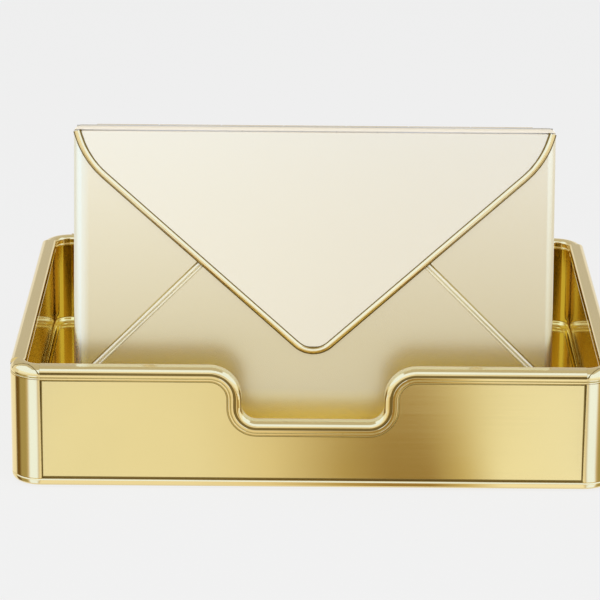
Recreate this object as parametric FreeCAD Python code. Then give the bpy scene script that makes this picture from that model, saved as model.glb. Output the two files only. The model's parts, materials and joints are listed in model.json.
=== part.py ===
"""Desk letter tray in brass with an envelope-shaped letter pocket standing in it.

Frame: X across the front, Y from front to back, Z up, millimetres. The origin is on the table
under the middle of the tray. The envelope leans back in a socket on the tray's raised floor. It
lifts out along its own lean, and its flap turns on a pin along the top rear edge.
"""

import FreeCAD, Part  # FreeCAD has to be imported before Part
import math
import os

# ---- tray -------------------------------------------------------------------------------------
TRAY_WIDTH = 285.0  # over the outer faces, in X
TRAY_DEPTH = 225.0  # over the outer faces, in Y
TRAY_HEIGHT = 59.0  # from the underside of the base frame to the top of the rim
CORNER_RADIUS = 14.8  # outer corners, seen from above
WALL_THICKNESS = 6.0  # outer face to inner face of the double wall

BASE_HEIGHT = 4.0
BASE_EDGE_RADIUS = 2.6  # the rounded bottom edge
BASE_CROWN_RADIUS = 1.3  # the rounded upper edge
LEDGE_WIDTH = 7.0  # inward ledge of the base frame, which the bottom plate is screwed to
LEDGE_THICKNESS = 2.0

PANEL_THICKNESS = 2.0
PANEL_INSET = 0.6  # the satin panels lie this far behind posts, rim and base frame
PANEL_END_GAP = 0.9  # panel's face to corner post
PANEL_FOOT_GAP = 1.0  # panel's face to base frame
PANEL_HEAD_GAP = 0.85  # panel's face to the rim's skirt
LINER_THICKNESS = 1.5
POST_GAP = 0.2  # corner post to liner

RIM_WIDTH = 7.5
RIM_WEB = 2.4  # top web of the rim channel
RIM_OUTER_SKIRT = 6.15
RIM_INNER_SKIRT = 4.8
RIM_SKIRT_THICKNESS = 1.6
RIM_OUTER_ROUND = 2.45
RIM_CORNER_ROUND = 4.4  # the same edge at the corners, which are fuller
RIM_INNER_ROUND = 1.8
RIM_LIP = 1.05  # height of the thin lip below the groove of each skirt
RIM_GROOVE = 0.35  # depth of that groove
RIM_CROWN_GROOVE = 0.7  # depth of the straights' outer groove, right under the rounded crown
RIM_LIP_ROUND = 0.4

NOTCH_WIDTH = 67.0  # clear width between the rim's upright stretches
NOTCH_DEPTH = 26.5
NOTCH_SHOULDER_RADIUS = 15.2  # rim top, where the rim turns down
NOTCH_FOOT_RADIUS = 7.2  # rim top, where it turns level again

FLOOR_LEVEL = 11.0  # top of the floor plate above the underside of the base frame
FLOOR_THICKNESS = 1.5
FLOOR_GAP = 0.15
BOTTOM_THICKNESS = 1.6
BOTTOM_GAP = 0.2
STANDOFF_RADIUS = 4.0
STANDOFF_INSET_X = 42.0  # from the outer faces
STANDOFF_INSET_Y = 42.0

FOOT_RADIUS = 7.0
FOOT_INSET = 27.0
FOOT_DROP = 1.0  # the base frame stands this far above the table

# ---- envelope, in its own upright frame before it leans ------------------------------------------
ENVELOPE_WIDTH = 229.0
ENVELOPE_HEIGHT = 150.0  # of the front face
ENVELOPE_THICKNESS = 12.0
ENVELOPE_LEAN = 10.0  # degrees back from upright
ENVELOPE_SETBACK = 33.0  # tray front to the envelope's front face, at floor level
FRONT_EDGE_RADIUS = 4.0
REAR_EDGE_RADIUS = 3.0
FRAME_RAIL = 9.0  # width of the frame's rails
PLATE_THICKNESS = 1.6  # front panels and back plate
BOTTOM_RAIL = 12.0

SEAM_CENTRE_DEPTH = 12.4  # below the top, where the two seam lines would meet
SEAM_SIDE_DEPTH = 124.2  # below the top, where a seam line meets the envelope's side
SEAM_BEAD_RADIUS = 0.95
SEAM_LIP_RADIUS = 0.65  # the smaller ridge along the bead's lower side
SEAM_OVERLAP = 0.1  # of bead and ridge
THROAT_DEPTH = 90.0  # below the top, where the throat's slanting edges would meet
THROAT_TOP_INSET = 11.6  # envelope's side to the throat's edge, carried up to the top line
THROAT_TOP_MARGIN = 6.0  # the panels start this far below the top

FLAP_THICKNESS = 1.6
FLAP_LIFT = 0.4  # flap to front panels
FLAP_FOLD_RADIUS = 1.7
FLAP_FOLD_GROOVE = 0.55  # depth of the groove where the fold ends and the front begins
FLAP_FOLD_FLAT = 0.05  # left between the fold's rounding and that groove
FLAP_APEX = 110.6  # depth below the top at which the flap's straight edges would meet
FLAP_TIP_RADIUS = 12.0
FLAP_SHOULDER_INSET = 5.9  # envelope's side to the shoulder's corner, before it is rounded
FLAP_SHOULDER_DEPTH = 15.6
FLAP_SHOULDER_REACH = 11.85  # from that corner to where its rounding starts
FLAP_CORNER_INSET = 1.9
FLAP_SIDE_INSET = 0.5  # envelope's side to the fold's end
FLAP_END_RADIUS = 3.0
TRIM_WIDTH = 2.8
TRIM_HEIGHT = 2.9
TRIM_CROWN_FLAT = 0.04  # left along the middle of the trim's rounded crown

HINGE_RADIUS = 2.4
PIN_RADIUS = 1.0
PIN_CLEARANCE = 0.05
HINGE_END_GAP = 1.5  # hinge to the frame's side rails
KNUCKLES = 7
KNUCKLE_GAP = 0.4
LEAF_THICKNESS = 1.2
LEAF_HEIGHT = 16.0
MOVING_GAP = 0.3  # between the flap's pieces and the envelope's

# ---- socket -----------------------------------------------------------------------------------
SOCKET_END_INSET = 19.5  # envelope's side to the socket's end
SOCKET_BASE = 1.5
SOCKET_HEIGHT = 11.0
SOCKET_CHEEK = 2.0
SOCKET_GAP = 0.3
SEAT_GAP = 0.1

# ---- screws, nuts and rivets: shank radius, head radius, head depth, length -----------------------
BASE_SCREW = (1.5, 2.7, 1.0, 3.4)
SOCKET_SCREW = (1.5, 2.7, 0.9, 6.0)
BACK_SCREW = (1.0, 1.8, 0.8, 6.0)
LEAF_RIVET = (0.9, 1.5, 0.5, 3.3)
NUT_ACROSS_FLATS = 5.5
NUT_HEIGHT = 2.4
SLOT_WIDTH = 0.5
BASE_SCREW_PITCH = 80.0
SOCKET_SCREW_PITCH = 75.0
SOCKET_SCREW_INSET = 25.0  # from the socket's ends
BACK_SCREW_PITCH = 42.0
BACK_FOOT_SCREW_PITCH = 84.0

# ---- worked out ----------------------------------------------------------------------------------
HALF_W = TRAY_WIDTH / 2
HALF_D = TRAY_DEPTH / 2
BASE_Z = FOOT_DROP
BASE_TOP = BASE_Z + BASE_HEIGHT
RIM_TOP = BASE_Z + TRAY_HEIGHT
FLOOR_TOP = BASE_Z + FLOOR_LEVEL
FLOOR_UNDER = FLOOR_TOP - FLOOR_THICKNESS
BOTTOM_TOP = BASE_TOP - LEDGE_THICKNESS
BOTTOM_UNDER = BOTTOM_TOP - BOTTOM_THICKNESS
LINER_FACE = WALL_THICKNESS - LINER_THICKNESS
NOTCH_HALF = NOTCH_WIDTH / 2

LEAN = math.radians(ENVELOPE_LEAN)
FACE_Y = -HALF_D + ENVELOPE_SETBACK
SEAT_Z = FLOOR_TOP + SOCKET_BASE + SEAT_GAP
ENV_HALF = ENVELOPE_WIDTH / 2
ENV_TOP = (SOCKET_BASE + SEAT_GAP) / math.cos(LEAN) + ENVELOPE_HEIGHT
PLATE_HALF = ENV_HALF - FRONT_EDGE_RADIUS
CAVITY_HALF = ENV_HALF - FRAME_RAIL
BACK_INNER = ENVELOPE_THICKNESS - PLATE_THICKNESS
PIN_Y = ENVELOPE_THICKNESS - HINGE_RADIUS
PIN_Z = ENV_TOP - HINGE_RADIUS
RAIL_TOP = PIN_Z - MOVING_GAP
BODY_TOP = PIN_Z - HINGE_RADIUS - MOVING_GAP  # top of the back plate, under the moving knuckles
FLAP_FRONT = -FLAP_LIFT - FLAP_THICKNESS
FLAP_CORNER_DEPTH = FLAP_FOLD_RADIUS + FLAP_FOLD_FLAT + FLAP_FOLD_GROOVE
LEAF_TOP = ENV_TOP - FLAP_THICKNESS
PLATE_FOOT = BOTTOM_RAIL - FRONT_EDGE_RADIUS
HINGE_LENGTH = 2 * (CAVITY_HALF - HINGE_END_GAP)
SOCKET_LENGTH = ENVELOPE_WIDTH - 2 * SOCKET_END_INSET
SEAM_SLOPE = (SEAM_SIDE_DEPTH - SEAM_CENTRE_DEPTH) / ENV_HALF
THROAT_SLOPE = THROAT_DEPTH / (ENV_HALF - THROAT_TOP_INSET)
SHOULDER_X = ENV_HALF - FLAP_SHOULDER_INSET
CORNER_X = ENV_HALF - FLAP_CORNER_INSET
FLAP_SLOPE = (FLAP_APEX - FLAP_SHOULDER_DEPTH) / SHOULDER_X
FOLD_HALF = ENV_HALF - FLAP_SIDE_INSET
FAR = 400.0  # reach of a cutting block
TINY = 1e-6


def vec(x, y, z):
    return FreeCAD.Vector(x, y, z)


UP = vec(0, 0, 1)
DOWN = vec(0, 0, -1)
FORWARD = vec(0, -1, 0)


def block(x, y, z):
    """A box from three (low, high) pairs."""
    return Part.makeBox(x[1] - x[0], y[1] - y[0], z[1] - z[0], vec(x[0], y[0], z[0]))


def rod(start, direction, radius, length):
    return Part.makeCylinder(radius, length, start, direction)


def join(shapes):
    if len(shapes) == 1:
        return shapes[0]
    return shapes[0].multiFuse(shapes[1:]).removeSplitter()


def rounded(place, corners, closed=True):
    """Wire through corners (a, b, radius), put in space by place(a, b).

    A corner with a radius is rounded by an arc tangent to both of its sides.
    """
    points = [vec(a, b, 0) for a, b, _ in corners]
    stops = []
    for i, (_, _, radius) in enumerate(corners):
        here = points[i]
        if radius == 0 or (not closed and i in (0, len(points) - 1)):
            stops.append((here, None, here))
            continue
        back = (points[i - 1] - here).normalize()
        ahead = (points[(i + 1) % len(points)] - here).normalize()
        half = back.getAngle(ahead) / 2
        middle = (back + ahead).normalize()
        reach = radius / math.tan(half)
        crown = here + middle * (radius / math.sin(half) - radius)
        stops.append((here + back * reach, crown, here + ahead * reach))

    def put(point):
        return place(point.x, point.y)

    edges = []
    count = len(stops)
    for i, (enter, crown, leave) in enumerate(stops):
        if crown is not None:
            edges.append(Part.Arc(put(enter), put(crown), put(leave)).toShape())
        if i + 1 == count and not closed:
            break
        onward = stops[(i + 1) % count][0]
        if leave.distanceToPoint(onward) > TINY:
            edges.append(Part.LineSegment(put(leave), put(onward)).toShape())
    return Part.Wire(edges)


# ---- ring of the tray: a profile of (inset from the outer face, height) carried round it --------


def profile_face(profile, x, face_y=-HALF_D):
    """The profile on the front wall, in the plane at x."""
    return Part.Face(rounded(lambda inset, z: vec(x, face_y + inset, z), profile))


def side(profile, quarter, end_gap=0.0):
    """Straight stretch of the ring: quarter 0 is the front, 1 right, 2 rear, 3 left."""
    along, across = (HALF_W, HALF_D) if quarter % 2 == 0 else (HALF_D, HALF_W)
    half = along - CORNER_RADIUS - end_gap
    shape = profile_face(profile, -half, -across).extrude(vec(2 * half, 0, 0))
    shape.rotate(vec(0, 0, 0), vec(0, 0, 1), 90 * quarter)
    return shape


def corner(profile, rear, right):
    """Quarter turn of the ring. The rear corners are the front ones turned half round."""
    sign = 1 if right != rear else -1
    x = sign * (HALF_W - CORNER_RADIUS)
    pivot = vec(x, -HALF_D + CORNER_RADIUS, 0)
    shape = profile_face(profile, x).revolve(pivot, vec(0, 0, sign), 90)
    if rear:
        shape.rotate(vec(0, 0, 0), vec(0, 0, 1), 180)
    return shape


def ring(profile):
    straights = [side(profile, quarter) for quarter in range(4)]
    turns = [corner(profile, rear, right) for rear in (False, True) for right in (False, True)]
    return join(straights + turns)


def rounded_plate(inset, z, thickness):
    """Flat plate inside the ring, its edge that far in from the outer faces."""
    radius = CORNER_RADIUS - inset
    x, y = HALF_W - inset, HALF_D - inset
    corners = [(-x, -y, radius), (x, -y, radius), (x, y, radius), (-x, y, radius)]
    outline = rounded(lambda a, b: vec(a, b, z), corners)
    return Part.Face(outline).extrude(vec(0, 0, thickness))


def base_profile():
    ledge_end = WALL_THICKNESS + LEDGE_WIDTH
    return [
        (0, BASE_Z, BASE_EDGE_RADIUS),
        (WALL_THICKNESS, BASE_Z, 0),
        (WALL_THICKNESS, BOTTOM_TOP, 0),
        (ledge_end, BOTTOM_TOP, 0),
        (ledge_end, BASE_TOP, 0),
        (0, BASE_TOP, BASE_CROWN_RADIUS),
    ]


def sheet_profile(outer, inner, low, high):
    return [(outer, low, 0), (inner, low, 0), (inner, high, 0), (outer, high, 0)]


def post_profile():
    """Corner post: its face stops under the rim's skirt, and its tongue goes up behind it."""
    inner = LINER_FACE - POST_GAP
    return [
        (0, BASE_TOP, 0),
        (inner, BASE_TOP, 0),
        (inner, RIM_TOP - RIM_WEB, 0),
        (RIM_SKIRT_THICKNESS, RIM_TOP - RIM_WEB, 0),
        (RIM_SKIRT_THICKNESS, RIM_TOP - RIM_OUTER_SKIRT, 0),
        (0, RIM_TOP - RIM_OUTER_SKIRT, 0),
    ]


def panel_side(quarter):
    """Panel: a face with a narrow gap round it, and behind it a tongue up into the rim."""
    inner = PANEL_INSET + PANEL_THICKNESS
    low, high = BASE_TOP + PANEL_FOOT_GAP, RIM_TOP - RIM_OUTER_SKIRT - PANEL_HEAD_GAP
    face = side(sheet_profile(PANEL_INSET, inner, low, high), quarter, PANEL_END_GAP)
    tongue = sheet_profile(RIM_SKIRT_THICKNESS, inner, BASE_TOP, RIM_TOP - RIM_WEB)
    return join([face, side(tongue, quarter)])


def liner_profile():
    return sheet_profile(LINER_FACE, WALL_THICKNESS, BASE_TOP, RIM_TOP - RIM_WEB)


def rim_profile(outer_round):
    """Channel that caps the double wall, with a groove and a thin lip round both skirts."""
    outer_end = RIM_TOP - RIM_OUTER_SKIRT
    inner_end = RIM_TOP - RIM_INNER_SKIRT
    return [
        (0, RIM_TOP, outer_round),
        (RIM_WIDTH, RIM_TOP, RIM_INNER_ROUND),
        (RIM_WIDTH, inner_end + RIM_LIP + RIM_GROOVE, 0),
        (RIM_WIDTH - RIM_GROOVE, inner_end + RIM_LIP, 0),
        (RIM_WIDTH, inner_end + RIM_LIP - RIM_GROOVE, 0),
        (RIM_WIDTH, inner_end, RIM_LIP_ROUND),
        (WALL_THICKNESS, inner_end, 0),
        (WALL_THICKNESS, RIM_TOP - RIM_WEB, 0),
        (RIM_SKIRT_THICKNESS, RIM_TOP - RIM_WEB, 0),
        (RIM_SKIRT_THICKNESS, outer_end, 0),
        (0, outer_end, RIM_LIP_ROUND),
        (0, outer_end + RIM_LIP - RIM_GROOVE, 0),
        (RIM_GROOVE, outer_end + RIM_LIP, 0),
        (0, outer_end + RIM_LIP + RIM_GROOVE, 0),
    ]


def straight_rim_profile():
    """The rim between its corners, with one more groove, right under the rounded crown."""
    crown_end = RIM_TOP - RIM_OUTER_ROUND
    return rim_profile(RIM_OUTER_ROUND) + [
        (0, crown_end - 2 * RIM_CROWN_GROOVE, 0),
        (RIM_CROWN_GROOVE, crown_end - RIM_CROWN_GROOVE, 0),
        (0, crown_end, 0),
    ]


def notched_sheet(inset, thickness, drop, end_gap=0.0, foot_gap=0.0):
    """Front sheet from the base frame up to the rim's underside, drop below the rim's top line."""
    half = HALF_W - CORNER_RADIUS - end_gap
    foot_level = BASE_TOP + foot_gap
    upright = NOTCH_HALF + drop
    shoulder = NOTCH_SHOULDER_RADIUS - drop
    foot = NOTCH_FOOT_RADIUS + drop
    high = RIM_TOP - drop
    low = high - NOTCH_DEPTH
    left = [(-half, high, 0), (-upright, high, shoulder), (-upright, low, foot)]
    right = [(-x, z, radius) for x, z, radius in reversed(left)]
    outline = left + right + [(half, foot_level, 0), (-half, foot_level, 0)]
    y = -HALF_D + inset
    return Part.Face(rounded(lambda x, z: vec(x, y, z), outline)).extrude(vec(0, thickness, 0))


def rim_front():
    """The rim's front stretch: its profile follows the notch down, along and up again."""
    half = HALF_W - CORNER_RADIUS
    level = half - NOTCH_HALF - NOTCH_SHOULDER_RADIUS
    upright = NOTCH_DEPTH - NOTCH_SHOULDER_RADIUS - NOTCH_FOOT_RADIUS
    bottom = NOTCH_WIDTH - 2 * NOTCH_FOOT_RADIUS
    face = profile_face(straight_rim_profile(), -half)
    x, z, heading = -half, RIM_TOP, 0.0
    route = [
        ("run", level),
        ("turn", NOTCH_SHOULDER_RADIUS, -90),
        ("run", upright),
        ("turn", NOTCH_FOOT_RADIUS, 90),
        ("run", bottom),
        ("turn", NOTCH_FOOT_RADIUS, 90),
        ("run", upright),
        ("turn", NOTCH_SHOULDER_RADIUS, -90),
        ("run", level),
    ]
    pieces = []
    for step in route:
        ahead = (math.cos(math.radians(heading)), math.sin(math.radians(heading)))
        if step[0] == "run":
            move = vec(ahead[0] * step[1], 0, ahead[1] * step[1])
            pieces.append(face.extrude(move))
            face.translate(move)
            x, z = x + move.x, z + move.z
            continue
        radius, angle = step[1:]
        sign = 1 if angle > 0 else -1
        centre = vec(x - sign * ahead[1] * radius, 0, z + sign * ahead[0] * radius)
        axis = vec(0, -sign, 0)
        pieces.append(face.revolve(centre, axis, abs(angle)))
        face.rotate(centre, axis, abs(angle))
        heading += angle
        out = math.radians(heading)
        x = centre.x + sign * math.sin(out) * radius
        z = centre.z - sign * math.cos(out) * radius
    return join(pieces)


# ---- screws ---------------------------------------------------------------------------------------


def screw(size, head_point, direction):
    """Flat-headed screw with a driver slot. Its head's face is at head_point."""
    shank, head, depth, length = size
    body = rod(head_point, direction, head, depth).fuse(rod(head_point, direction, shank, length))
    slot = Part.makeBox(2 * head, SLOT_WIDTH, depth, vec(-head, -SLOT_WIDTH / 2, -depth / 2))
    slot.Placement = FreeCAD.Placement(head_point, FreeCAD.Rotation(UP, direction))
    return body.cut(slot)


def screw_hole(size, head_point, direction):
    shank, head, depth, length = size
    return rod(head_point, direction, head, depth).fuse(rod(head_point, direction, shank, length))


def spread(length, pitch):
    """Evenly spaced places, pitch apart at most, over length and centred on zero."""
    gaps = max(1, math.ceil(length / pitch))
    return [-length / 2 + length * i / gaps for i in range(gaps + 1)]


def standoff_places():
    x = HALF_W - STANDOFF_INSET_X
    y = HALF_D - STANDOFF_INSET_Y
    return [(sx * x, sy * y) for sx in (-1, 1) for sy in (-1, 0, 1)]


def base_screw_places():
    """Along the middle of the ledge on all four sides, and under each standoff."""
    inset = WALL_THICKNESS + LEDGE_WIDTH / 2
    x, y = HALF_W - inset, HALF_D - inset
    run_x, run_y = 2 * (HALF_W - CORNER_RADIUS), 2 * (HALF_D - CORNER_RADIUS)
    places = [(a, b) for a in spread(run_x, BASE_SCREW_PITCH) for b in (-y, y)]
    places += [(a, b) for b in spread(run_y, BASE_SCREW_PITCH)[1:-1] for a in (-x, x)]
    return places + standoff_places()


def socket_screw_places():
    """Along the middle of the socket's base."""
    y = FACE_Y + (ENVELOPE_THICKNESS / 2) / math.cos(LEAN)
    run = SOCKET_LENGTH - 2 * SOCKET_SCREW_INSET
    return [(x, y) for x in spread(run, SOCKET_SCREW_PITCH)]


# ---- tray pieces ----------------------------------------------------------------------------------


def drilled(shape, holes):
    return shape.cut(Part.makeCompound(holes))


def base_screws(make):
    return [make(BASE_SCREW, vec(x, y, BOTTOM_UNDER), UP) for x, y in base_screw_places()]


def socket_screws(make):
    z = FLOOR_TOP + SOCKET_BASE
    return [make(SOCKET_SCREW, vec(x, y, z), DOWN) for x, y in socket_screw_places()]


def standoffs():
    z = BOTTOM_TOP
    posts = [rod(vec(x, y, z), UP, STANDOFF_RADIUS, FLOOR_UNDER - z) for x, y in standoff_places()]
    return [drilled(post, base_screws(screw_hole)) for post in posts]


def hexagon(x, y, z, across_flats):
    reach = across_flats / math.sqrt(3)
    angles = [math.radians(60 * i) for i in range(7)]
    points = [vec(x + reach * math.cos(a), y + reach * math.sin(a), z) for a in angles]
    return Part.Face(Part.makePolygon(points))


def socket_nuts():
    nuts = []
    for x, y in socket_screw_places():
        nut = hexagon(x, y, FLOOR_UNDER, NUT_ACROSS_FLATS).extrude(DOWN * NUT_HEIGHT)
        nuts.append(drilled(nut, socket_screws(screw_hole)))
    return nuts


def tray_pieces():
    parts = {}
    base_holes = base_screws(screw_hole)
    parts["base_frame"] = drilled(ring(base_profile()), base_holes)
    bottom = rounded_plate(WALL_THICKNESS + BOTTOM_GAP, BOTTOM_UNDER, BOTTOM_THICKNESS)
    parts["bottom_plate"] = drilled(bottom, base_holes)
    parts["bottom_screws"] = Part.makeCompound(base_screws(screw))
    parts["floor_standoffs"] = Part.makeCompound(standoffs())
    floor = rounded_plate(WALL_THICKNESS + FLOOR_GAP, FLOOR_UNDER, FLOOR_THICKNESS)
    parts["floor_plate"] = drilled(floor, socket_screws(screw_hole))
    x, y = HALF_W - FOOT_INSET, HALF_D - FOOT_INSET
    for row, end in (("front", -1), ("rear", 1)):
        for hand, way in (("left", -1), ("right", 1)):
            foot = rod(vec(way * x, end * y, 0), UP, FOOT_RADIUS, BOTTOM_UNDER)
            parts[f"foot_{row}_{hand}"] = foot

    gaps = (PANEL_END_GAP, PANEL_FOOT_GAP)
    tongue = PANEL_INSET + PANEL_THICKNESS - RIM_SKIRT_THICKNESS
    parts["front_panel"] = join([
        notched_sheet(PANEL_INSET, PANEL_THICKNESS, RIM_OUTER_SKIRT + PANEL_HEAD_GAP, *gaps),
        notched_sheet(RIM_SKIRT_THICKNESS, tongue, RIM_WEB),
    ])
    parts["liner_front"] = notched_sheet(LINER_FACE, LINER_THICKNESS, RIM_WEB)
    parts["rim_front"] = rim_front()
    for name, quarter in (("right", 1), ("rear", 2), ("left", 3)):
        parts[f"{name}_panel"] = panel_side(quarter)
        parts[f"liner_{name}"] = side(liner_profile(), quarter)
        parts[f"rim_{name}"] = side(straight_rim_profile(), quarter)
    liner_turns = []
    for row, rear in (("front", False), ("rear", True)):
        for hand, right in (("left", False), ("right", True)):
            parts[f"corner_post_{row}_{hand}"] = corner(post_profile(), rear, right)
            parts[f"rim_corner_{row}_{hand}"] = corner(rim_profile(RIM_CORNER_ROUND), rear, right)
            liner_turns.append(corner(liner_profile(), rear, right))
    parts["liner_corners"] = Part.makeCompound(liner_turns)
    return parts


# ---- socket and envelope --------------------------------------------------------------------------


def lean(shape):
    """From the envelope's upright frame to its place in the tray."""
    shape.translate(vec(0, FACE_Y, FLOOR_TOP))
    shape.rotate(vec(0, FACE_Y, FLOOR_TOP), vec(1, 0, 0), -ENVELOPE_LEAN)
    return shape


def above(z):
    return block((-FAR, FAR), (-FAR, FAR), (z, z + FAR))


def socket():
    """Channel with leaning cheeks and a flat base, screwed to the floor plate."""
    half = SOCKET_LENGTH / 2
    grip = SOCKET_GAP + SOCKET_CHEEK
    outside = (-grip, ENVELOPE_THICKNESS + grip)
    inside = (-SOCKET_GAP, ENVELOPE_THICKNESS + SOCKET_GAP)
    tall = (-SOCKET_HEIGHT, 2 * SOCKET_HEIGHT)
    body = lean(block((-half, half), outside, tall)).common(above(FLOOR_TOP))
    body = body.cut(above(FLOOR_TOP + SOCKET_HEIGHT))
    well = lean(block((-FAR, FAR), inside, tall)).common(above(FLOOR_TOP + SOCKET_BASE))
    return drilled(body.cut(well), socket_screws(screw_hole))


def in_depth(y):
    """Places (x, depth below the envelope's top) on the plane at y."""
    return lambda x, depth: vec(x, y, ENV_TOP - depth)


def plate(corners, front, thickness):
    outline = rounded(in_depth(front), corners)
    return Part.Face(outline).extrude(vec(0, thickness, 0))


def seam_depth(x):
    return SEAM_CENTRE_DEPTH + SEAM_SLOPE * abs(x)


def throat_foot():
    """Where a seam meets the throat's slanting edge."""
    x = (THROAT_DEPTH - SEAM_CENTRE_DEPTH) / (THROAT_SLOPE + SEAM_SLOPE)
    return x, seam_depth(x)


def side_front_panel(sign):
    foot_x, foot_depth = throat_foot()
    head_x = (THROAT_DEPTH - THROAT_TOP_MARGIN) / THROAT_SLOPE
    corners = [
        (sign * PLATE_HALF, seam_depth(PLATE_HALF), 0),
        (sign * foot_x, foot_depth, 0),
        (sign * head_x, THROAT_TOP_MARGIN, 0),
        (sign * PLATE_HALF, THROAT_TOP_MARGIN, 0),
    ]
    return plate(corners, 0, PLATE_THICKNESS)


def lower_front_panel():
    foot_x, foot_depth = throat_foot()
    edge_depth = seam_depth(PLATE_HALF)
    low = ENV_TOP - PLATE_FOOT
    corners = [
        (-PLATE_HALF, low, 0),
        (-PLATE_HALF, edge_depth, 0),
        (-foot_x, foot_depth, 0),
        (foot_x, foot_depth, 0),
        (PLATE_HALF, edge_depth, 0),
        (PLATE_HALF, low, 0),
    ]
    return plate(corners, 0, PLATE_THICKNESS)


def seam_bead(sign):
    """Half-round bead on the seam with a ridge along it, from beside the flap's trim outwards."""
    fall = math.atan(SEAM_SLOPE)
    meeting = fall + math.atan(FLAP_SLOPE)
    clear = (TRIM_WIDTH / 2 + MOVING_GAP + SEAM_BEAD_RADIUS * abs(math.cos(meeting))) / math.sin(meeting)
    start_x = (FLAP_APEX - SEAM_CENTRE_DEPTH) / (FLAP_SLOPE + SEAM_SLOPE) + clear * math.cos(fall)
    start = in_depth(0)(sign * start_x, seam_depth(start_x))
    end_x = PLATE_HALF - SEAM_BEAD_RADIUS
    end = in_depth(0)(sign * end_x, seam_depth(end_x))
    way = end - start
    aside = SEAM_BEAD_RADIUS + SEAM_LIP_RADIUS - SEAM_OVERLAP
    below = start + vec(-sign * math.sin(fall), 0, -math.cos(fall)) * aside
    bead = rod(start, way, SEAM_BEAD_RADIUS, way.Length)
    ridge = rod(below, way, SEAM_LIP_RADIUS, way.Length)
    return join([bead, ridge]).common(block((-FAR, FAR), (-FAR, 0), (-FAR, FAR)))


def envelope_frame():
    """U-shaped frame: two side rails and a bottom rail, rebated for the panels."""
    corners = [
        (-ENV_HALF, 0, FRONT_EDGE_RADIUS),
        (ENV_HALF, 0, FRONT_EDGE_RADIUS),
        (ENV_HALF, ENVELOPE_THICKNESS, REAR_EDGE_RADIUS),
        (-ENV_HALF, ENVELOPE_THICKNESS, REAR_EDGE_RADIUS),
    ]
    outline = rounded(lambda x, y: vec(x, y, -SOCKET_HEIGHT), corners)
    body = Part.Face(outline).extrude(vec(0, 0, RAIL_TOP + SOCKET_HEIGHT))
    high = (BOTTOM_RAIL, FAR)
    body = body.cut(block((-CAVITY_HALF, CAVITY_HALF), (-FAR, FAR), high))
    rebate = (PLATE_FOOT, FAR)
    body = body.cut(block((-PLATE_HALF, PLATE_HALF), (-FAR, PLATE_THICKNESS), rebate))
    return body.cut(block((-PLATE_HALF, PLATE_HALF), (BACK_INNER, FAR), rebate))


def back_screw_places():
    """Up both side rails and along the bottom rail, in the middle of the back plate's overlap."""
    x = (PLATE_HALF + CAVITY_HALF) / 2
    low, high = (BOTTOM_RAIL + PLATE_FOOT) / 2, BODY_TOP - LEAF_HEIGHT
    middle = (low + high) / 2
    uprights = [middle + step for step in spread(high - low, BACK_SCREW_PITCH)]
    places = [(sign * x, z) for z in uprights for sign in (-1, 1)]
    return places + [(a, low) for a in spread(2 * x, BACK_FOOT_SCREW_PITCH)[1:-1]]


def back_screws(make):
    y = ENVELOPE_THICKNESS
    return [make(BACK_SCREW, vec(x, y, z), FORWARD) for x, z in back_screw_places()]


def knuckle_spans(moving):
    """(start, end) in X of the hinge's moving or fixed knuckles."""
    pitch = HINGE_LENGTH / KNUCKLES
    first = 1 if moving else 0
    starts = [-HINGE_LENGTH / 2 + i * pitch for i in range(first, KNUCKLES, 2)]
    return [(a + KNUCKLE_GAP / 2, a + pitch - KNUCKLE_GAP / 2) for a in starts]


def knuckle_rods(moving, radius, margin=0.0):
    return [
        rod(vec(a - margin, PIN_Y, PIN_Z), vec(1, 0, 0), radius, b - a + 2 * margin)
        for a, b in knuckle_spans(moving)
    ]


def along_hinge(radius):
    return rod(vec(-HINGE_LENGTH / 2, PIN_Y, PIN_Z), vec(1, 0, 0), radius, HINGE_LENGTH)


def hinge_body_leaf():
    """Leaf inside the back plate, its fixed knuckles on top."""
    half = HINGE_LENGTH / 2
    thickness = (BACK_INNER - LEAF_THICKNESS, BACK_INNER)
    low = BODY_TOP - LEAF_HEIGHT
    strip = block((-half, half), thickness, (low, BODY_TOP))
    necks = [block((a, b), thickness, (BODY_TOP, PIN_Z)) for a, b in knuckle_spans(False)]
    leaf = join([strip] + necks + knuckle_rods(False, HINGE_RADIUS))
    leaf = leaf.cut(along_hinge(PIN_RADIUS + PIN_CLEARANCE))
    return drilled(leaf, leaf_rivets(screw_hole))


def leaf_rivet_places():
    return [(a + b) / 2 for a, b in knuckle_spans(True)]


def leaf_rivets(make):
    z = BODY_TOP - LEAF_HEIGHT / 2
    y = ENVELOPE_THICKNESS
    return [make(LEAF_RIVET, vec(x, y, z), FORWARD) for x in leaf_rivet_places()]


def flap_rivets(make):
    """Rivets up through the flap's leaf into its top strip."""
    y = (PLATE_THICKNESS + PIN_Y - HINGE_RADIUS) / 2
    z = LEAF_TOP - LEAF_THICKNESS
    shank, head, depth, _ = LEAF_RIVET
    size = (shank, head, depth, LEAF_THICKNESS + FLAP_THICKNESS / 2)
    return [make(size, vec(x, y, z), UP) for x in leaf_rivet_places()]


def hinge_flap_leaf():
    """Leaf under the flap's top strip, its knuckles between the fixed ones."""
    half = HINGE_LENGTH / 2
    strip = block((-half, half), (PLATE_THICKNESS / 2, PIN_Y), (LEAF_TOP - LEAF_THICKNESS, LEAF_TOP))
    clear = knuckle_rods(False, HINGE_RADIUS + MOVING_GAP, KNUCKLE_GAP)
    strip = drilled(strip, clear)
    for a, b in knuckle_spans(False):
        rest = block((a - KNUCKLE_GAP, b + KNUCKLE_GAP), (PIN_Y - HINGE_RADIUS, FAR), (0, FAR))
        strip = strip.cut(rest)
    leaf = join([strip] + knuckle_rods(True, HINGE_RADIUS))
    leaf = leaf.cut(along_hinge(PIN_RADIUS + PIN_CLEARANCE))
    return drilled(leaf, flap_rivets(screw_hole))


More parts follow.
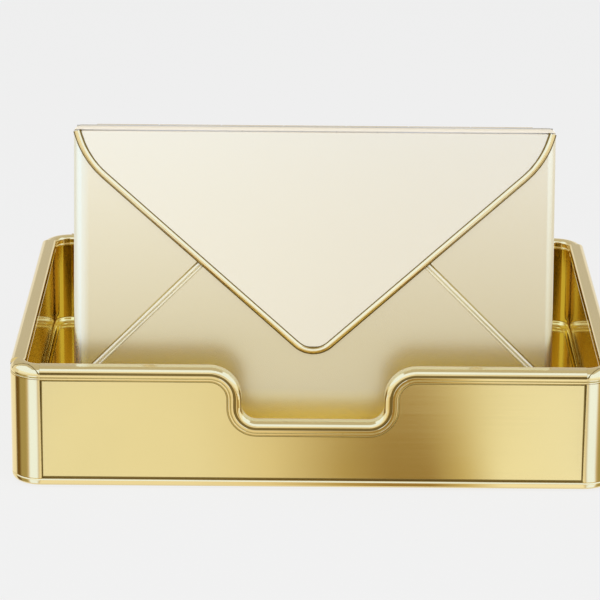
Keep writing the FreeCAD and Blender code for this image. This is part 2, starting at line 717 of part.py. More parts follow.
def flap_edge():
    """The trim's centre line, from one top corner round the tip to the other."""
    fall = math.atan2(FLAP_SHOULDER_DEPTH - FLAP_CORNER_DEPTH, SHOULDER_X - CORNER_X)
    turn = fall - math.atan2(FLAP_SLOPE, -1)
    shoulder_radius = FLAP_SHOULDER_REACH / math.tan(abs(turn) / 2)
    left = [
        (-CORNER_X, FLAP_CORNER_DEPTH, 0),
        (-SHOULDER_X, FLAP_SHOULDER_DEPTH, shoulder_radius),
    ]
    right = [(-x, depth, radius) for x, depth, radius in reversed(left)]
    return left + [(0, FLAP_APEX, FLAP_TIP_RADIUS)] + right


def flap_trim():
    """Bead round the flap's edge: straight flanks and a rounded crown."""
    edge = flap_edge()
    at = in_depth(-FLAP_LIFT)
    path = rounded(at, edge, closed=False)
    start = at(*edge[0][:2])
    along = at(*edge[1][:2]) - start
    across = along.cross(FORWARD).normalize()
    half = TRIM_WIDTH / 2
    crown = half - TRIM_CROWN_FLAT / 2
    corners = [
        (-half, 0, 0),
        (half, 0, 0),
        (half, TRIM_HEIGHT, crown),
        (-half, TRIM_HEIGHT, crown),
    ]
    section = rounded(lambda a, b: start + across * a + FORWARD * b, corners)
    return path.makePipeShell([section], True, False)


def flap_panel(trim):
    """Folded sheet: the pointed front, the rounded fold and the top strip back to the hinge."""
    rear = PIN_Y - HINGE_RADIUS - MOVING_GAP
    inner_fold = FLAP_FOLD_RADIUS - FLAP_THICKNESS
    lip = ENV_TOP - FLAP_CORNER_DEPTH
    section = [
        (FLAP_FRONT, ENV_TOP, FLAP_FOLD_RADIUS),
        (rear, ENV_TOP, 0),
        (rear, LEAF_TOP, 0),
        (-FLAP_LIFT, LEAF_TOP, inner_fold),
        (-FLAP_LIFT, lip, 0),
        (FLAP_FRONT + FLAP_FOLD_GROOVE, lip, 0),
        (FLAP_FRONT, lip + FLAP_FOLD_GROOVE, 0),
    ]
    profile = Part.Face(rounded(lambda y, z: vec(-FOLD_HALF, y, z), section))
    strip = profile.extrude(vec(2 * FOLD_HALF, 0, 0))
    ends = [
        (-FOLD_HALF, 2 * FLAP_END_RADIUS, 0),
        (-FOLD_HALF, 0, FLAP_END_RADIUS),
        (FOLD_HALF, 0, FLAP_END_RADIUS),
        (FOLD_HALF, 2 * FLAP_END_RADIUS, 0),
    ]
    strip = strip.common(plate(ends, -FAR, 2 * FAR))
    front = plate(flap_edge(), FLAP_FRONT, FLAP_THICKNESS)
    return drilled(join([strip, front]), flap_rivets(screw_hole)).cut(trim)


def envelope_pieces():
    parts = {}
    holes = back_screws(screw_hole)
    seat = above(SEAT_Z)
    back = block((-PLATE_HALF, PLATE_HALF), (BACK_INNER, ENVELOPE_THICKNESS), (PLATE_FOOT, BODY_TOP))
    parts["envelope_frame"] = drilled(envelope_frame(), holes)
    parts["envelope_back"] = drilled(back, holes + leaf_rivets(screw_hole))
    parts["envelope_back_screws"] = Part.makeCompound(back_screws(screw))
    parts["envelope_left_panel"] = side_front_panel(-1)
    parts["envelope_right_panel"] = side_front_panel(1)
    parts["envelope_lower_panel"] = lower_front_panel()
    parts["seam_bead_left"] = seam_bead(-1)
    parts["seam_bead_right"] = seam_bead(1)
    parts["hinge_body_leaf"] = hinge_body_leaf()
    parts["hinge_body_rivets"] = Part.makeCompound(leaf_rivets(screw))
    parts["hinge_pin"] = along_hinge(PIN_RADIUS)
    parts["hinge_flap_leaf"] = hinge_flap_leaf()
    parts["hinge_flap_rivets"] = Part.makeCompound(flap_rivets(screw))
    parts["flap_trim"] = flap_trim()
    parts["flap_panel"] = flap_panel(parts["flap_trim"])
    for shape in parts.values():
        lean(shape)
    parts["envelope_frame"] = parts["envelope_frame"].common(seat)
    return parts


def main():
    os.makedirs("parts", exist_ok=True)
    parts = tray_pieces()
    parts["envelope_socket"] = socket()
    parts["socket_screws"] = Part.makeCompound(socket_screws(screw))
    parts["socket_nuts"] = Part.makeCompound(socket_nuts())
    parts.update(envelope_pieces())
    for name, shape in parts.items():
        solids = shape.Solids
        if not shape.isValid() or not solids or min(s.Volume for s in solids) <= 0:
            raise RuntimeError(f"{name} is not a sound solid")
        if len(solids) == 1:
            shape = solids[0]
        shape.exportStep(f"parts/{name}.step")
        box = shape.BoundBox
        print(f"{name:28s} solids {len(solids):2d} volume {shape.Volume:10.1f} "
              f"x {box.XMin:7.2f} {box.XMax:7.2f} y {box.YMin:7.2f} {box.YMax:7.2f} "
              f"z {box.ZMin:7.2f} {box.ZMax:7.2f}")
    pin = lean(Part.Vertex(vec(0, PIN_Y, PIN_Z))).Point
    print("hinge axis at", [round(v, 4) for v in pin])


main()
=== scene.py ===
"""Finishes for the brass desk letter tray and its envelope pocket, with the studio around them.

Metres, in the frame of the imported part: X across the front, Y from front to back, Z up.
"""

import json
import math

import bmesh
import bpy
from bpy.props import FloatProperty, FloatVectorProperty, PointerProperty
from mathutils import Matrix, Quaternion, Vector


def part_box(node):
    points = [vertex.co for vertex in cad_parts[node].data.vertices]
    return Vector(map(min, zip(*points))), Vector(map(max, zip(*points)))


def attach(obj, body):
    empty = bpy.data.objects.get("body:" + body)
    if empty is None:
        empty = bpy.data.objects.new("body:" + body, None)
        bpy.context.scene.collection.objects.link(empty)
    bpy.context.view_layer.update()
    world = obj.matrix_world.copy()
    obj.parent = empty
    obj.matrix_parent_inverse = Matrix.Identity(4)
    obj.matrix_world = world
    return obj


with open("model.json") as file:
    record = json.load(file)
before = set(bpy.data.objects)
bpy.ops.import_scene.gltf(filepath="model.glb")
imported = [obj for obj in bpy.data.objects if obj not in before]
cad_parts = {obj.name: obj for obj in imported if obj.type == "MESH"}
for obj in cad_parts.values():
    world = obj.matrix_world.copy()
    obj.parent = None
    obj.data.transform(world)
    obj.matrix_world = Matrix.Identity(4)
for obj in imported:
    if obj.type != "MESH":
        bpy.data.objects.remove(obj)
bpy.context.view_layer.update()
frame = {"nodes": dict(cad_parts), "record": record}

bl_info = {
    "name": "Envelope Letter Tray",
    "version": (1, 0, 0),
    "blender": (4, 5, 0),
    "location": "View3D > Sidebar > Letter Tray",
    "description": "Brass desk tray with a leaning envelope pocket, its finishes and its studio",
    "category": "Add Mesh",
}

MM = 0.001
NODES = frame["nodes"]
SLOTS = {item["node"]: item["material_slot"] for item in frame["record"]["subparts"]}


def colour(name, description, default):
    """A colour property, in linear values."""
    return FloatVectorProperty(
        name=name,
        description=description,
        subtype="COLOR",
        size=3,
        min=0.0,
        max=1.0,
        default=default,
    )


def share(name, description, default):
    """A property from 0 to 1."""
    return FloatProperty(name=name, description=description, default=default, min=0.0, max=1.0)


def line_radius(name, description, default):
    """A property for a small radius."""
    return FloatProperty(
        name=name, description=description, default=default, min=0.0, precision=5, unit="LENGTH"
    )


class LetterTrayFinishes(bpy.types.PropertyGroup):
    """Colours and roughness of the tray's metals and paints."""

    satin: colour("Satin brass", "Outer wall panels", (0.83, 0.69, 0.33))
    satin_roughness: share("Satin roughness", "Roughness of the outer panels", 0.24)
    polished: colour("Polished brass", "Posts, rims and base frame", (0.87, 0.70, 0.34))
    polished_roughness: share("Polished roughness", "Roughness of posts, rims and base frame", 0.10)
    inner: colour("Inner brass", "Liners, and standoffs under the floor", (0.61, 0.39, 0.04))
    # Painted light: a brighter copy of the inner brass for the liner behind the front wall, standing in for
    # light that barely reaches it.
    front: colour("Front liner", "Liner behind the front wall", (1.0, 0.78, 0.15))
    floor: colour("Floor brass", "Floor, socket and cove", (0.90, 0.73, 0.26))
    inner_roughness: share("Inner roughness", "Roughness inside the tray", 0.10)
    trim: colour("Trim brass", "The flap's bead and the hinge", (0.90, 0.72, 0.36))
    trim_roughness: share("Trim roughness", "Roughness of the flap's bead and the hinge", 0.16)
    flap: colour("Flap", "Pearl finish of the flap", (0.915, 0.845, 0.66))
    # Painted shade: the envelope's body is darker and browner low down, as a painted reflection of the
    # brass wall, and paler painted light high up.
    body: colour("Envelope", "Champagne finish of the envelope's body", (0.75, 0.65, 0.41))
    body_top_lit: colour("Envelope's top", "Pale finish high on the envelope's body", (0.94, 0.86, 0.65))
    # Painted reflection: the front wall's brass, mirrored as a warm band at the envelope's foot.
    body_foot_reflection: colour("Envelope's foot", "Warm finish at the envelope's foot", (1.0, 0.86, 0.43))
    # Painted highlight: a paler band down the envelope's left side.
    body_side_highlight: colour("Envelope's side", "Pale finish along the envelope's left side", (0.88, 0.85, 0.68))
    body_roughness: share("Envelope roughness", "Roughness of the envelope's finish", 0.25)
    bronze: colour("Bottom plate", "Powder coat under the tray", (0.34, 0.25, 0.11))
    plated: colour("Fasteners", "Plated screws, nuts, rivets and the hinge pin", (0.70, 0.60, 0.38))
    rubber: colour("Rubber", "Foot pads", (0.03, 0.028, 0.025))
    # Painted shade: dark lines in the rim's grooves, in the gaps round the wall panels, at the corner
    # joints, round the front corners' highlights and beside the flap's bead.
    painted_shade: colour("Patina", "Darkened metal in the grooves", (0.20, 0.125, 0.018))
    # Painted shade: dark gold lines along the lip groove, between rim and wall panels, and over the seam
    # beads.
    shade_gold: colour("Old gold", "Lines along the lip, the panels' heads and the seams", (0.52, 0.38, 0.11))
    # Painted shade: fine dark lines before and behind the fold.
    shade: colour("Shaded pearl", "Fine lines along the fold", (0.62, 0.56, 0.45))
    seam: colour("Seam pearl", "Pale gold of the seam beads", (0.88, 0.80, 0.55))
    fold: colour("Fold", "Cream of the folded edge", (0.88, 0.80, 0.65))
    # Painted highlight along the front rim's inner edge.
    edge: colour("Edge", "Bright line along the rim's inner edge", (0.86, 0.67, 0.35))


class LetterTraySizes(bpy.types.PropertyGroup):
    """Radii of the painted shade and highlight lines on the tray and the envelope, and of the floor's cove.
    """

    # Painted shade line in the groove under the crown.
    crown_line: line_radius("Crown line", "Line under the rim's crown", 0.82 * MM)
    # Painted shade line along the lip groove.
    lip_line: line_radius("Lip line", "Line along the rim's lower lip", 0.36 * MM)
    # Painted shade line between rim and wall panels.
    panel_head_line: line_radius("Panel head line", "Line between rim and wall panels", 0.4 * MM)
    # Painted highlight inside the front rim.
    inner_edge_highlight: line_radius("Inner edge line", "Bright line inside the front rim", 0.65 * MM)
    # Painted shade line in the gap round each wall panel.
    panel_line: line_radius("Panel line", "Line round the face of a wall panel", 0.85 * MM)
    # Painted shade line at the corner joints.
    joint_line: line_radius("Joint line", "Line where a rim corner meets a straight rim", 0.55 * MM)
    # Painted shade: dark edge round each front corner's highlight.
    corner_line: line_radius("Corner line", "Line round the highlight of a front corner", 0.8 * MM)
    # Painted shade on the flap's side of its bead.
    flap_inner_line: line_radius("Flap's inner line", "Line on the flap's side of its bead", 0.34 * MM)
    # Painted shadow on the envelope's side of the bead.
    flap_outer_line: line_radius("Flap's outer line", "Line on the envelope's side of the bead", 0.6 * MM)
    # Painted shade lines at the fold.
    fold_line: line_radius("Fold line", "Lines before and behind the fold", 0.3 * MM)
    # Painted shade line over each seam bead.
    seam_line: line_radius("Seam line", "Dark line over a seam bead", 0.42 * MM)
    # Painted highlight: a pale line under each seam bead, over its shadow.
    seam_highlight: line_radius("Seam lip", "Pale line under a seam bead", 0.4 * MM)
    cove: line_radius("Cove", "Hollow between floor and walls", 2.6 * MM)


class LetterTrayStudio(bpy.types.PropertyGroup):
    """The studio's surroundings and its camera."""

    backdrop: colour("Backdrop", "Colour of the floor and the surroundings", (0.88, 0.88, 0.88))
    ambient: share("Ambient", "Strength of the surroundings as soft light", 0.45)
    lens: FloatProperty(
        name="Lens", description="Focal length in millimetres", default=198.8, min=10, unit="CAMERA"
    )
    camera_place: FloatVectorProperty(
        name="Camera",
        description="Place of the camera",
        subtype="XYZ",
        unit="LENGTH",
        size=3,
        default=(-0.006452, -1.5757, 0.55374),
    )
    camera_pitch: FloatProperty(
        name="Pitch", description="Camera below level", default=math.radians(17.441), unit="ROTATION"
    )
    camera_roll: FloatProperty(
        name="Roll", description="Camera's turn about its own axis", default=math.radians(0.466),
        unit="ROTATION",
    )


# ---- materials ----------------------------------------------------------------------------------


def finish_name(name):
    """A finish's material name. The frame's own plain materials have the slots' bare names."""
    return f"{name}_finish"


def new_material(name):
    """A material with nodes, and its Principled shader."""
    material = bpy.data.materials.new(finish_name(name))
    material.use_nodes = True
    shader = material.node_tree.nodes["Principled BSDF"]
    return material, shader


def add_node(material, kind, **values):
    """New shader node. Each value sets the node's own property of that name, or else its input."""
    node = material.node_tree.nodes.new(kind)
    for name, value in values.items():
        if hasattr(node, name):
            setattr(node, name, value)
        else:
            node.inputs[name.replace("_", " ")].default_value = value
    return node


def wire(material, source, target):
    """Links an output to an input."""
    material.node_tree.links.new(source, target)


def object_noise(material, scale, detail=3.0, stretch=(1, 1, 1)):
    """Factor of a noise on Object coordinates, with its scale in repeats per metre."""
    place = add_node(material, "ShaderNodeTexCoord")
    mapping = add_node(material, "ShaderNodeMapping")
    mapping.inputs["Scale"].default_value = stretch
    noise = add_node(material, "ShaderNodeTexNoise", Scale=scale, Detail=detail)
    wire(material, place.outputs["Object"], mapping.inputs["Vector"])
    wire(material, mapping.outputs["Vector"], noise.inputs["Vector"])
    return noise.outputs["Fac"]


def between(material, factor, low, high):
    """Maps a noise factor, mostly 0.3 to 0.7, onto a range."""
    ramp = add_node(material, "ShaderNodeMapRange")
    ramp.inputs["From Min"].default_value = 0.3
    ramp.inputs["From Max"].default_value = 0.7
    ramp.inputs["To Min"].default_value = low
    ramp.inputs["To Max"].default_value = high
    wire(material, factor, ramp.inputs["Value"])
    return ramp.outputs["Result"]


def along_band(material, place, band):
    """0 before a band of places, 1 past it, and a straight blend inside it."""
    ramp = add_node(material, "ShaderNodeMapRange")
    ramp.inputs["From Min"].default_value, ramp.inputs["From Max"].default_value = band
    wire(material, place, ramp.inputs["Value"])
    return ramp.outputs["Result"]


def mixed(material, factor, first, second):
    """Mix of two colours, each given as values or as another node's output."""
    mix = add_node(material, "ShaderNodeMix", data_type="RGBA")
    wire(material, factor, mix.inputs["Factor"])
    for name, paint in (("A", first), ("B", second)):
        if isinstance(paint, bpy.types.NodeSocket):
            wire(material, paint, mix.inputs[name])
        else:
            mix.inputs[name].default_value = (*paint, 1)
    return mix.outputs["Result"]


def varied(material, shader, grain, roughness, drift):
    """Roughness that follows the grain, up and down by a share of itself."""
    spread = between(material, grain, roughness * (1 - drift), roughness * (1 + drift))
    wire(material, spread, shader.inputs["Roughness"])


def relief(material, shader, factor, depth, distance):
    """Bump from a noise factor."""
    bump = add_node(material, "ShaderNodeBump", Strength=depth, Distance=distance)
    wire(material, factor, bump.inputs["Height"])
    wire(material, bump.outputs["Normal"], shader.inputs["Normal"])


FINE_GRAIN = 1500.0  # repeats per metre
FINEST_GRAIN = 2600.0
RUBBER_GRAIN = 3000.0
GRAIN_DETAIL = 4.0
METAL_RELIEF = 0.02 * MM
RUBBER_RELIEF = 0.2 * MM
METAL_DRIFT = 0.12  # how much the roughness varies, as a share of it
PEARL_DRIFT = 0.06
BRUSHED = (0.015, 0.015, 1)  # grain drawn out along the walls
CLOUDS = 24.0  # soft cloudy wear, in repeats per metre
CLOUD_SHADE = 0.97  # how dark it gets


def metal(name, base, roughness, grain, fineness=FINE_GRAIN, stretch=(1, 1, 1), metallic=1.0):
    """Metal with soft cloudy wear, fine grain and a roughness that varies."""
    material, shader = new_material(name)
    shader.inputs["Metallic"].default_value = metallic
    clouds = between(material, object_noise(material, CLOUDS), 0.0, 1.0)
    shaded = [CLOUD_SHADE * c for c in base]
    wire(material, mixed(material, clouds, base, shaded), shader.inputs["Base Color"])
    fine = object_noise(material, fineness, GRAIN_DETAIL, stretch)
    varied(material, shader, fine, roughness, METAL_DRIFT)
    relief(material, shader, fine, grain, METAL_RELIEF)


PEARL_METALLIC = 0.9
PEARL_GRAIN_DEPTH = 0.01
SHADE_CLIMB_BAND = (60.0 * MM, 170.0 * MM)  # height over which the envelope turns from low to high: from darker painted shade to paler painted light
FOLD_START = 159.1 * MM  # height of the groove under the flap's fold
FOOT_REFLECTION_BAND = (25.0 * MM, 38.0 * MM)  # height where the painted reflection of the brass wall, warm at the envelope's foot, fades out
SIDE_HIGHLIGHT_BAND = (-107.0 * MM, -110.0 * MM)  # X where the painted highlight down the envelope's left side starts and is full


def pearl(name, low, high, roughness, fold=None, side=None, foot=None):
    """Satin pearl, from low to high up the envelope: darker and browner low down as painted shade and a
    painted reflection of the brass wall, paler high up.

    It may have a warm foot, a painted reflection of the brass wall; a pale left side, a painted highlight;
    and above the fold's groove a plain paint.
    """
    material, shader = new_material(name)
    shader.inputs["Metallic"].default_value = PEARL_METALLIC
    place = add_node(material, "ShaderNodeTexCoord")
    axes = add_node(material, "ShaderNodeSeparateXYZ")
    wire(material, place.outputs["Object"], axes.inputs["Vector"])
    height = axes.outputs["Z"]
    # Painted shade: darker low down and paler high up, by height.
    paint = mixed(material, along_band(material, height, SHADE_CLIMB_BAND), low, high)
    # Painted reflection of the brass wall, warm at the envelope's foot.
    if foot:
        paint = mixed(material, along_band(material, height, FOOT_REFLECTION_BAND), foot, paint)
    if fold:
        above = add_node(material, "ShaderNodeMath", operation="GREATER_THAN")
        above.inputs[1].default_value = FOLD_START
        wire(material, height, above.inputs[0])
        bare = add_node(material, "ShaderNodeMapRange")
        bare.inputs["To Min"].default_value, bare.inputs["To Max"].default_value = PEARL_METALLIC, 0.0
        wire(material, above.outputs["Value"], bare.inputs["Value"])
        wire(material, bare.outputs["Result"], shader.inputs["Metallic"])
        paint = mixed(material, above.outputs["Value"], paint, fold)
    # Painted highlight down the left side.
    if side:
        near = along_band(material, axes.outputs["X"], SIDE_HIGHLIGHT_BAND)
        paint = mixed(material, near, paint, side)
    wire(material, paint, shader.inputs["Base Color"])
    fine = object_noise(material, FINEST_GRAIN, GRAIN_DETAIL)
    varied(material, shader, fine, roughness, PEARL_DRIFT)
    relief(material, shader, fine, PEARL_GRAIN_DEPTH, METAL_RELIEF)


RUBBER_ROUGHNESS = (0.7, 0.85)
RUBBER_GRAIN_DEPTH = 0.25


def rubber(name, base):
    """Matt moulded rubber."""
    material, shader = new_material(name)
    shader.inputs["Base Color"].default_value = (*base, 1)
    grain = object_noise(material, RUBBER_GRAIN, 2.0)
    wire(material, between(material, grain, *RUBBER_ROUGHNESS), shader.inputs["Roughness"])
    relief(material, shader, grain, RUBBER_GRAIN_DEPTH, RUBBER_RELIEF)


def make_brasses(finish):
    """The bright metals of the tray and the trim."""
    metal("satin_brass", finish.satin, finish.satin_roughness, grain=0.3, stretch=BRUSHED)
    metal("polished_brass", finish.polished, finish.polished_roughness, grain=0.03)
    metal("inner_brass", finish.inner, finish.inner_roughness, grain=0.02)
    # Inner brass with painted light, for the front liner.
    metal("front_lit_brass", finish.front, roughness=0.25, grain=0.02)
    metal("floor_brass", finish.floor, finish.inner_roughness, grain=0.02)
    metal("trim_brass", finish.trim, finish.trim_roughness, grain=0.03)
    metal("fastener_steel", finish.plated, roughness=0.24, grain=0.04)


def make_line_finishes(finish):
    """The metals of the painted shade and highlight lines, and of the seam beads."""
    # Painted shade for the dark lines in grooves, gaps and round highlights.
    metal("painted_shade", finish.painted_shade, roughness=0.4, grain=0.05, metallic=0.6)
    # Painted shade for the lip, panel head and seam lines.
    metal("shade_gold", finish.shade_gold, roughness=0.3, grain=0.05, metallic=0.5)
    metal("shaded_pearl", finish.shade, roughness=0.3, grain=0.05)
    metal("seam_pearl", finish.seam, roughness=0.3, grain=0.01, fineness=FINEST_GRAIN, metallic=0.25)
    # Painted highlight for the front rim's inner edge.
    metal("edge_highlight_gold", finish.edge, roughness=0.3, grain=0.01, fineness=FINEST_GRAIN, metallic=0.3)


def make_paints(finish):
    """The envelope's pearl, the bottom's powder coat and the rubber."""
    rough = finish.body_roughness
    pearl("flap_pearl", finish.flap, finish.flap, rough, fold=finish.fold)
    # The envelope's body: painted shade low down, paler painted light high up, a painted reflection of the
    # brass wall at its foot and a painted highlight down its left side.
    side, foot = finish.body_side_highlight, finish.body_foot_reflection
    pearl("pearl_paint", finish.body, finish.body_top_lit, rough, side=side, foot=foot)
    metal("base_steel", finish.bronze, roughness=0.5, grain=0.2, fineness=FINEST_GRAIN, metallic=0.4)
    rubber("rubber_pad", finish.rubber)


def coat(node_name, finish):
    """Gives a piece of the frame its finish in place of the plain material."""
    material = bpy.data.materials.get(finish_name(finish))
    if material is None:
        raise RuntimeError(f"the finish {finish} has not been made")
    node = NODES[node_name]
    node.data.materials.clear()
    node.data.materials.append(material)


OWN_FINISHES = {  # pieces whose finish isn't that of their slot
    "flap_panel": "flap_pearl",
    "floor_plate": "floor_brass",
    "liner_front": "front_lit_brass",
    "envelope_socket": "floor_brass",
    "seam_bead_left": "seam_pearl",
    "seam_bead_right": "seam_pearl",
}


class LetterTrayMixFinishes(bpy.types.Operator):
    """Makes the metals, the pearl finishes and the rubber"""

    bl_idname = "letter_tray.mix_finishes"
    bl_label = "Mix finishes"

    def execute(self, context):
        finish = context.scene.letter_tray_finishes
        make_brasses(finish)
        make_line_finishes(finish)
        make_paints(finish)
        return {"FINISHED"}


class LetterTrayCoatNodes(bpy.types.Operator):
    """Gives every piece of the frame its finish"""

    bl_idname = "letter_tray.coat_nodes"
    bl_label = "Coat the pieces"

    def execute(self, context):
        for name, slot in SLOTS.items():
            coat(name, OWN_FINISHES.get(name, slot))
        return {"FINISHED"}


# ---- painted shade and highlight lines, and the floor's cove ----------------------------------------

FRONT_LOW, FRONT_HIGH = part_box("rim_front")
SIDE_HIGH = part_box("rim_right")[1]
FACE_FRONT, RIM_TOP = FRONT_LOW.y, FRONT_HIGH.z
STRAIGHT_X, STRAIGHT_Y = FRONT_HIGH.x, SIDE_HIGH.y
FACE_SIDE = SIDE_HIGH.x
CORNER = FACE_SIDE - STRAIGHT_X
FLOOR_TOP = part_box("floor_plate")[1].z
LINER_INSET = FACE_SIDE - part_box("liner_right")[0].x

NOTCH_HALF = 33.5 * MM
NOTCH_DEPTH = 26.5 * MM
NOTCH_SHOULDER = 15.2 * MM  # rounding at the notch's mouth, along the rim's top
NOTCH_FOOT = 7.2 * MM  # rounding at its foot
CROWN_GROOVE = (0.83 * MM, 3.1 * MM)  # inset from the wall's face, drop from the rim's top
LIP_GROOVE = (0.37 * MM, 5.1 * MM)
PANEL_HEAD = (0.86 * MM, 6.55 * MM)
# Place of the painted highlight along the front rim's inner edge.
INNER_EDGE = (6.75 * MM, 0.72 * MM)
PANEL_GAP_DEPTH = 1.35 * MM  # middle of the line round a panel, behind the wall's face
PANEL_GAP_FOOT = 5.5 * MM  # middle of that line above the table, along the panel's foot
RIM_CORNER_ROUND = 4.4 * MM
JOINT_DEPTH = 0.5 * MM  # middle of the joint line under the rim's surface
CORNER_DEPTH = 0.73 * MM
JOINT_TURNS = range(15, 80, 8)  # degrees over the rounding, from the outer side
HIGHLIGHT_EDGE = (  # degrees round the corner, and up its rounding
    (1, 12),
    (8, 38),
    (16, 60),
    (29, 80),
    (46, 74),
    (61, 40),
    (69, 8),
)
ARC_STEP = math.radians(6)
LINE_ROUNDNESS = 2
MERGE = 0.001 * MM


def rounded_route(corners):
    """Points along corners (place, radius), with an arc in place of each corner that has one."""
    route = []
    for i, (corner, radius) in enumerate(corners):
        corner = Vector(corner)
        if radius == 0:
            route.append(corner)
            continue
        back = (Vector(corners[i - 1][0]) - corner).normalized()
        ahead = (Vector(corners[(i + 1) % len(corners)][0]) - corner).normalized()
        half = back.angle(ahead) / 2
        centre = corner + (back + ahead).normalized() * radius / math.sin(half)
        spoke = corner + back * radius / math.tan(half) - centre
        axis = back.cross(ahead).normalized()
        turn = 2 * half - math.pi
        steps = max(3, round(abs(turn) / ARC_STEP))
        route += [centre + Quaternion(axis, turn * k / steps) @ spoke for k in range(steps + 1)]
    return route


def drawn_along(name, routes, finish, body, radius=0.0, section=None, closed=False, widths=None):
    """Solid line along routes: round, or with a section of (aside, up) points. It rides on body.

    widths takes a place from 0 to 1 along a route and gives the factor on the radius there.
    """
    draw = bpy.data.curves.new(name, "CURVE")
    draw.dimensions = "2D" if section else "3D"
    draw.use_fill_caps = True
    for route in routes:
        spline = draw.splines.new("POLY")
        spline.points.add(len(route) - 1)
        for i, (point, place) in enumerate(zip(spline.points, route)):
            point.co = (*place, 1)
            point.radius = widths(i / (len(route) - 1)) if widths else 1.0
        spline.use_cyclic_u = closed
    pen = None
    if section:
        profile = bpy.data.curves.new(f"{name}_section", "CURVE")
        outline = profile.splines.new("POLY")
        outline.points.add(len(section) - 1)
        for point, place in zip(outline.points, section):
            point.co = (*place, 0, 1)
        outline.use_cyclic_u = True
        pen = bpy.data.objects.new(f"{name}_section", profile)
        draw.bevel_mode, draw.bevel_object = "OBJECT", pen
    else:
        draw.bevel_depth, draw.bevel_resolution = radius, LINE_ROUNDNESS
    pencil = bpy.data.objects.new(f"{name}_route", draw)
    bpy.context.scene.collection.objects.link(pencil)
    mesh = bpy.data.meshes.new_from_object(pencil.evaluated_get(bpy.context.evaluated_depsgraph_get()))
    mesh.name = name
    bpy.data.objects.remove(pencil)
    bpy.data.curves.remove(draw)
    if pen:
        bpy.data.objects.remove(pen)
        bpy.data.curves.remove(profile)
    work = bmesh.new()
    work.from_mesh(mesh)
    bmesh.ops.remove_doubles(work, verts=work.verts, dist=MERGE)
    bmesh.ops.recalc_face_normals(work, faces=work.faces)
    for face in work.faces:
        face.smooth = True
    work.to_mesh(mesh)
    work.free()
    mesh.materials.clear()
    mesh.materials.append(bpy.data.materials[finish_name(finish)])
    piece = bpy.data.objects.new(name, mesh)
    bpy.context.scene.collection.objects.link(piece)
    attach(piece, body)


def notch_route(inset, drop):
    """Along the front rim from joint to joint, through the notch."""
    y, high = FACE_FRONT + inset, RIM_TOP - drop
    upright = NOTCH_HALF + drop
    left = [
        ((-STRAIGHT_X, y, high), 0),
        ((-upright, y, high), NOTCH_SHOULDER - drop),
        ((-upright, y, high - NOTCH_DEPTH), NOTCH_FOOT + drop),
    ]
    right = [((-place[0], *place[1:]), radius) for place, radius in reversed(left)]
    return rounded_route(left + right)


def rear_route(inset, drop):
    """Round the other three sides, from the front rim's right joint to its left one."""
    x, y, z = FACE_SIDE - inset, -FACE_FRONT - inset, RIM_TOP - drop
    bend = CORNER - inset
    right = [((STRAIGHT_X, -y, z), 0), ((x, -y, z), bend), ((x, y, z), bend)]
    left = [((-place[0], *place[1:]), radius) for place, radius in reversed(right)]
    return rounded_route(right + left)


def wall_routes(inset, drop):
    """Straight stretches of the right, rear and left walls."""
    x, y, z = FACE_SIDE - inset, -FACE_FRONT - inset, RIM_TOP - drop
    return [
        [Vector((x, -STRAIGHT_Y, z)), Vector((x, STRAIGHT_Y, z))],
        [Vector((STRAIGHT_X, y, z)), Vector((-STRAIGHT_X, y, z))],
        [Vector((-x, STRAIGHT_Y, z)), Vector((-x, -STRAIGHT_Y, z))],
    ]


def panel_gap_route(half, depth, turn, radius):
    """Down one end of a wall panel, along its foot and up the other end, turned to its wall."""
    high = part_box("rim_left")[0].z
    end = half - radius
    places = [(-end, high), (-end, PANEL_GAP_FOOT), (end, PANEL_GAP_FOOT), (end, high)]
    spin = Matrix.Rotation(turn, 3, "Z")
    return [spin @ Vector((x, -depth, z)) for x, z in places]


def joint_route(side, end):
    """Over a corner's fuller rounding, where it meets the front (end 1) or the rear rim (-1)."""
    centre = Vector((side * STRAIGHT_X, end * (FACE_FRONT + RIM_CORNER_ROUND), RIM_TOP - RIM_CORNER_ROUND))
    turns = [math.radians(turn) for turn in JOINT_TURNS]
    reach = RIM_CORNER_ROUND - JOINT_DEPTH
    return [centre + Vector((0, -math.cos(a) * end, math.sin(a))) * reach for a in turns]


def corner_route(side):
    """Round the highlight of a front corner: side 1 is the right one."""
    centre = Vector((side * STRAIGHT_X, FACE_FRONT + CORNER, RIM_TOP - RIM_CORNER_ROUND))
    rounding = RIM_CORNER_ROUND - CORNER_DEPTH
    route = []
    for (turn, rise), (next_turn, next_rise) in zip(HIGHLIGHT_EDGE, HIGHLIGHT_EDGE[1:]):
        for part in (0, 0.25, 0.5, 0.75):
            around = math.radians(turn + part * (next_turn - turn))
            climb = math.radians(rise + part * (next_rise - rise))
            reach = CORNER - RIM_CORNER_ROUND + rounding * math.cos(climb)
            up = rounding * math.sin(climb)
            route.append(centre + Vector((side * math.sin(around) * reach, -math.cos(around) * reach, up)))
    return route


